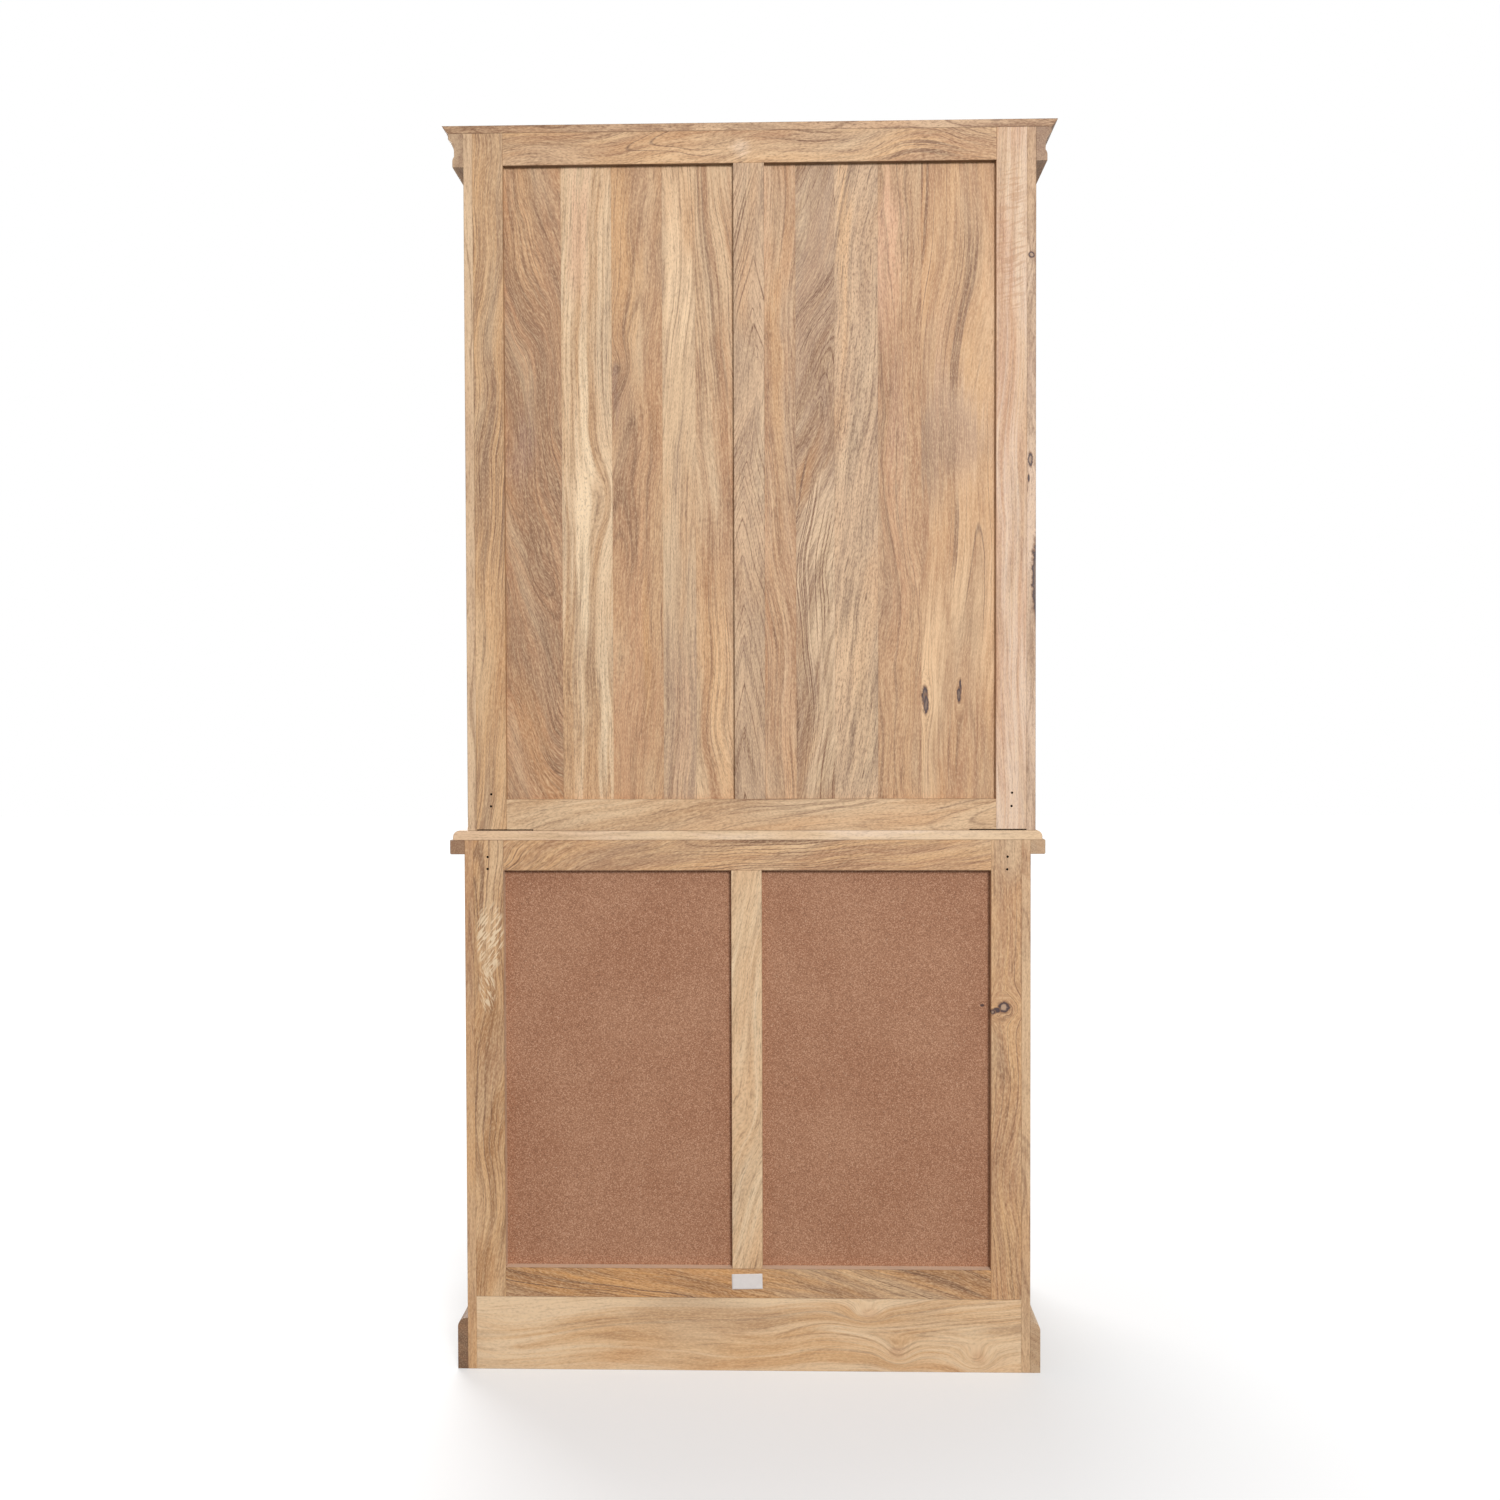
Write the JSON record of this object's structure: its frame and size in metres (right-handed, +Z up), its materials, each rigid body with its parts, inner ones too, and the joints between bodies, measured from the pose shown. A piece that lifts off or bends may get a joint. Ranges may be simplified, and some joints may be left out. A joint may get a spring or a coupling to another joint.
{
  "type": "cupboard",
  "caption": "Tall two-part wooden cupboard: glazed doors over shelves above, panelled doors below, with a framed and panelled back, crown, waist and plinth mouldings.",
  "frame": {"origin": "on the floor, in the middle of the cupboard's bounding box", "axes": "+Z up, -Y towards the doors, +Y towards the back, +X to the right seen from the front"},
  "size_m": [1.028, 0.45, 2.1],
  "materials": {
    "cabinet_wood": "waxed hardwood, satin",
    "back_wood": "sanded and sealed hardwood",
    "fibreboard": "matt brown fibreboard",
    "glass": "clear float glass",
    "brass_turned": "aged brass",
    "brass_hinge": "aged brass",
    "catch_plastic": "brown moulded plastic"
  },
  "bodies": {
    "carcass": {"base_back_bottom_rail": "back_wood", "base_back_muntin": "back_wood", "base_back_panel_left": "fibreboard", "base_back_panel_right": "fibreboard", "base_back_stile_left": "back_wood", "base_back_stile_right": "back_wood", "base_back_top_rail": "back_wood", "base_bottom": "cabinet_wood", "base_face_bottom_rail": "cabinet_wood", "base_face_stiles": "cabinet_wood", "base_face_top_rail": "cabinet_wood", "base_shelf": "cabinet_wood", "base_side_left": "cabinet_wood", "base_side_right": "cabinet_wood", "crown_board": "cabinet_wood", "crown_moulding_front": "cabinet_wood", "crown_moulding_left": "cabinet_wood", "crown_moulding_right": "cabinet_wood", "door_catches": "catch_plastic", "hinge_frame_leaves": "brass_hinge", "hinge_pins": "brass_hinge", "plinth_back_board": "back_wood", "plinth_moulding_front": "cabinet_wood", "plinth_moulding_left": "cabinet_wood", "plinth_moulding_right": "cabinet_wood", "upper_back_bottom_rail": "back_wood", "upper_back_muntin": "back_wood", "upper_back_panel_left": "back_wood", "upper_back_panel_right": "back_wood", "upper_back_stile_left": "back_wood", "upper_back_stile_right": "back_wood", "upper_back_top_rail": "back_wood", "upper_bottom": "cabinet_wood", "upper_face_bottom_rail": "cabinet_wood", "upper_face_stiles": "cabinet_wood", "upper_face_top_rail": "cabinet_wood", "upper_shelves": "cabinet_wood", "upper_side_left": "cabinet_wood", "upper_side_right": "cabinet_wood", "waist_board": "cabinet_wood", "waist_moulding_front": "cabinet_wood", "waist_moulding_left": "cabinet_wood", "waist_moulding_right": "cabinet_wood"},
    "base_door_left": {"base_door_left_frame": "cabinet_wood", "base_door_left_hinge_leaves": "brass_hinge", "base_door_left_knob": "brass_turned", "base_door_left_panel": "cabinet_wood"},
    "base_door_right": {"base_door_right_frame": "cabinet_wood", "base_door_right_hinge_leaves": "brass_hinge", "base_door_right_knob": "brass_turned", "base_door_right_panel": "cabinet_wood"},
    "upper_door_left": {"upper_door_left_frame": "cabinet_wood", "upper_door_left_hinge_leaves": "brass_hinge", "upper_door_left_knob": "brass_turned", "upper_door_left_pane": "glass"},
    "upper_door_right": {"upper_door_right_frame": "cabinet_wood", "upper_door_right_hinge_leaves": "brass_hinge", "upper_door_right_knob": "brass_turned", "upper_door_right_pane": "glass"}
  },
  "joints": [
    {"name": "base_door_left_swing", "type": "hinge", "parent": "carcass", "child": "base_door_left", "pos_m": [-0.424, -0.1986, 0.5], "axis": [0, 0, -1], "range_deg": [0, 170]},
    {"name": "base_door_right_swing", "type": "hinge", "parent": "carcass", "child": "base_door_right", "pos_m": [0.438, -0.1986, 0.5], "axis": [0, 0, 1], "range_deg": [0, 170]},
    {"name": "upper_door_left_swing", "type": "hinge", "parent": "carcass", "child": "upper_door_left", "pos_m": [-0.432, -0.1386, 1.47], "axis": [0, 0, -1], "range_deg": [0, 170]},
    {"name": "upper_door_right_swing", "type": "hinge", "parent": "carcass", "child": "upper_door_right", "pos_m": [0.432, -0.1386, 1.47], "axis": [0, 0, 1], "range_deg": [0, 170]}
  ]
}
